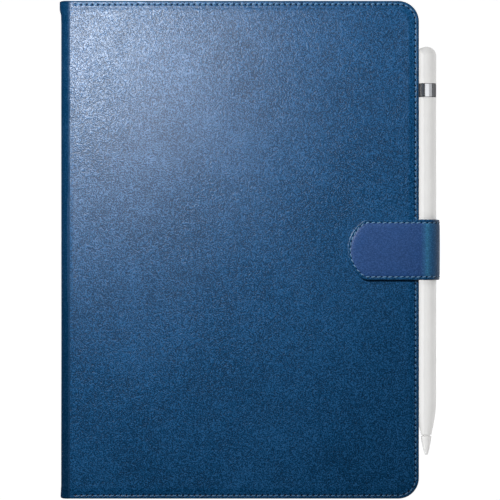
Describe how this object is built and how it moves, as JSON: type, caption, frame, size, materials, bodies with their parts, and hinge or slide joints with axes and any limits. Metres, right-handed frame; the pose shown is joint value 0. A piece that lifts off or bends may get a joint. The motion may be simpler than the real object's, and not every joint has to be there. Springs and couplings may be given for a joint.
{
  "type": "tablet keyboard case",
  "caption": "Closed leather folio for a small tablet, with a keyboard in its front cover, a folding stand, and a closing strap that also holds a stylus.",
  "frame": {"origin": "middle of the back cover's outer face, on the surface that the closed case lies on", "axes": "+X from the spine to the free edge, +Y along the spine towards the stylus cap, +Z from the back cover to the front cover"},
  "size_m": [0.1636, 0.214, 0.0235],
  "materials": {
    "blue_leather": "fine grained",
    "dark_suede": "napped microfibre",
    "cover_board": "pressed fibre board",
    "thread": "twisted thread",
    "magnet_steel": "plated",
    "elastic": "woven",
    "black_plastic": "fine texture",
    "keycap_plastic": "satin",
    "grey_rubber": "matte",
    "circuit_green": "lacquered",
    "battery_foil": "foil",
    "steel": "satin",
    "light_lens": "clear",
    "white_plastic": "soft gloss",
    "ring_chrome": "polished"
  },
  "bodies": {
    "back_cover": {"back_skin": "blue_leather", "back_board": "cover_board", "back_lining": "dark_suede", "back_stitching": "thread", "strap_anchor": "blue_leather", "stand_magnets": "magnet_steel", "tray_hinge_base": "blue_leather"},
    "spine": {"spine_skin": "blue_leather", "spine_board": "cover_board", "spine_lining": "dark_suede"},
    "front_cover": {"front_skin": "blue_leather", "front_board": "cover_board", "front_lining": "dark_suede", "front_stitching": "thread", "catch_magnet": "magnet_steel", "keyboard_base": "black_plastic", "keyboard_frame": "black_plastic", "key_deck": "black_plastic", "key_membrane": "grey_rubber", "battery": "battery_foil", "circuit_board": "circuit_green", "charge_socket": "steel", "status_lights": "light_lens", "housing_screws": "steel", "screen_bumpers": "grey_rubber"},
    "tray": {"tray_shell": "black_plastic", "tray_pad": "dark_suede", "tray_hinge_strip": "blue_leather", "flap_hinge_strip": "blue_leather"},
    "stand_flap": {"flap_board": "cover_board", "flap_covering": "blue_leather", "flap_magnets": "magnet_steel"},
    "strap": {"strap_side": "blue_leather", "stylus_loop": "elastic"},
    "strap_tongue": {"tongue_leather": "blue_leather", "tongue_core": "cover_board", "tongue_lining": "dark_suede", "tongue_magnet": "magnet_steel", "tongue_stitching": "thread"},
    "stylus": {"stylus_barrel": "white_plastic", "stylus_ring": "ring_chrome", "stylus_cap": "white_plastic", "stylus_tip": "white_plastic"},
    "function_keys_body": {"function_keys": "keycap_plastic"},
    "number_keys_body": {"number_keys": "keycap_plastic"},
    "backspace_key_body": {"backspace_key": "keycap_plastic"},
    "tab_key_body": {"tab_key": "keycap_plastic"},
    "upper_letter_keys_body": {"upper_letter_keys": "keycap_plastic"},
    "caps_key_body": {"caps_key": "keycap_plastic"},
    "home_letter_keys_body": {"home_letter_keys": "keycap_plastic"},
    "enter_key_body": {"enter_key": "keycap_plastic"},
    "left_shift_key_body": {"left_shift_key": "keycap_plastic"},
    "lower_letter_keys_body": {"lower_letter_keys": "keycap_plastic"},
    "right_shift_key_body": {"right_shift_key": "keycap_plastic"},
    "modifier_keys_body": {"modifier_keys": "keycap_plastic"},
    "space_bar_body": {"space_bar": "keycap_plastic"},
    "arrow_keys_body": {"arrow_keys": "keycap_plastic"},
    "touchpad_body": {"touchpad": "keycap_plastic"},
    "power_switch_body": {"power_switch": "keycap_plastic"}
  },
  "joints": [
    {"name": "cover_open", "type": "hinge", "parent": "back_cover", "child": "spine", "pos_m": [-0.07614, 0, 0.00086], "axis": [0, -1, 0], "range_deg": [0, 90]},
    {"name": "cover_fold", "type": "hinge", "parent": "spine", "child": "front_cover", "pos_m": [-0.07614, 0, 0.02064], "axis": [0, -1, 0], "range_deg": [0, 90]},
    {"name": "tray_lift", "type": "hinge", "parent": "back_cover", "child": "tray", "pos_m": [-0.0706, 0, 0.0034], "axis": [0, -1, 0], "range_deg": [0, 65]},
    {"name": "flap_fold", "type": "hinge", "parent": "tray", "child": "stand_flap", "pos_m": [0, 0, 0.0034], "axis": [0, -1, 0], "range_deg": [-130, 0]},
    {"name": "strap_swing", "type": "hinge", "parent": "back_cover", "child": "strap", "pos_m": [0.0777, 0, 0.0014], "axis": [0, 1, 0], "range_deg": [0, 40]},
    {"name": "strap_open", "type": "hinge", "parent": "strap", "child": "strap_tongue", "pos_m": [0.079, 0, 0.0234], "axis": [0, 1, 0], "range_deg": [0, 150], "deforming": ["tongue_leather", "tongue_core", "tongue_lining", "tongue_magnet", "tongue_stitching"]},
    {"name": "stylus_pull", "type": "slide", "parent": "strap", "child": "stylus", "axis": [0, 1, 0], "range_m": [0, 0.11]},
    {"name": "function_keys_press", "type": "slide", "parent": "front_cover", "child": "function_keys_body", "axis": [0, 0, 1], "range_m": [0, 0.0014], "stiffness_N_per_m": 300, "springref_m": -0.0004},
    {"name": "number_keys_press", "type": "slide", "parent": "front_cover", "child": "number_keys_body", "axis": [0, 0, 1], "range_m": [0, 0.0014], "stiffness_N_per_m": 300, "springref_m": -0.0004},
    {"name": "backspace_key_press", "type": "slide", "parent": "front_cover", "child": "backspace_key_body", "axis": [0, 0, 1], "range_m": [0, 0.0014], "stiffness_N_per_m": 300, "springref_m": -0.0004},
    {"name": "tab_key_press", "type": "slide", "parent": "front_cover", "child": "tab_key_body", "axis": [0, 0, 1], "range_m": [0, 0.0014], "stiffness_N_per_m": 300, "springref_m": -0.0004},
    {"name": "upper_letter_keys_press", "type": "slide", "parent": "front_cover", "child": "upper_letter_keys_body", "axis": [0, 0, 1], "range_m": [0, 0.0014], "stiffness_N_per_m": 300, "springref_m": -0.0004},
    {"name": "caps_key_press", "type": "slide", "parent": "front_cover", "child": "caps_key_body", "axis": [0, 0, 1], "range_m": [0, 0.0014], "stiffness_N_per_m": 300, "springref_m": -0.0004},
    {"name": "home_letter_keys_press", "type": "slide", "parent": "front_cover", "child": "home_letter_keys_body", "axis": [0, 0, 1], "range_m": [0, 0.0014], "stiffness_N_per_m": 300, "springref_m": -0.0004},
    {"name": "enter_key_press", "type": "slide", "parent": "front_cover", "child": "enter_key_body", "axis": [0, 0, 1], "range_m": [0, 0.0014], "stiffness_N_per_m": 300, "springref_m": -0.0004},
    {"name": "left_shift_key_press", "type": "slide", "parent": "front_cover", "child": "left_shift_key_body", "axis": [0, 0, 1], "range_m": [0, 0.0014], "stiffness_N_per_m": 300, "springref_m": -0.0004},
    {"name": "lower_letter_keys_press", "type": "slide", "parent": "front_cover", "child": "lower_letter_keys_body", "axis": [0, 0, 1], "range_m": [0, 0.0014], "stiffness_N_per_m": 300, "springref_m": -0.0004},
    {"name": "right_shift_key_press", "type": "slide", "parent": "front_cover", "child": "right_shift_key_body", "axis": [0, 0, 1], "range_m": [0, 0.0014], "stiffness_N_per_m": 300, "springref_m": -0.0004},
    {"name": "modifier_keys_press", "type": "slide", "parent": "front_cover", "child": "modifier_keys_body", "axis": [0, 0, 1], "range_m": [0, 0.0014], "stiffness_N_per_m": 300, "springref_m": -0.0004},
    {"name": "space_bar_press", "type": "slide", "parent": "front_cover", "child": "space_bar_body", "axis": [0, 0, 1], "range_m": [0, 0.0014], "stiffness_N_per_m": 300, "springref_m": -0.0004},
    {"name": "arrow_keys_press", "type": "slide", "parent": "front_cover", "child": "arrow_keys_body", "axis": [0, 0, 1], "range_m": [0, 0.0014], "stiffness_N_per_m": 300, "springref_m": -0.0004},
    {"name": "touchpad_click", "type": "slide", "parent": "front_cover", "child": "touchpad_body", "axis": [0, 0, 1], "range_m": [0, 0.0004], "stiffness_N_per_m": 1200, "springref_m": -0.0002},
    {"name": "power_slide", "type": "slide", "parent": "front_cover", "child": "power_switch_body", "axis": [1, 0, 0], "range_m": [0, 0.004]}
  ],
  "couplings": [
    {"joint": "cover_fold", "follows": "cover_open", "ratio": 1},
    {"joint": "tray_lift", "follows": "cover_open", "ratio": 0.72222},
    {"joint": "flap_fold", "follows": "cover_open", "ratio": -1.4444}
  ]
}
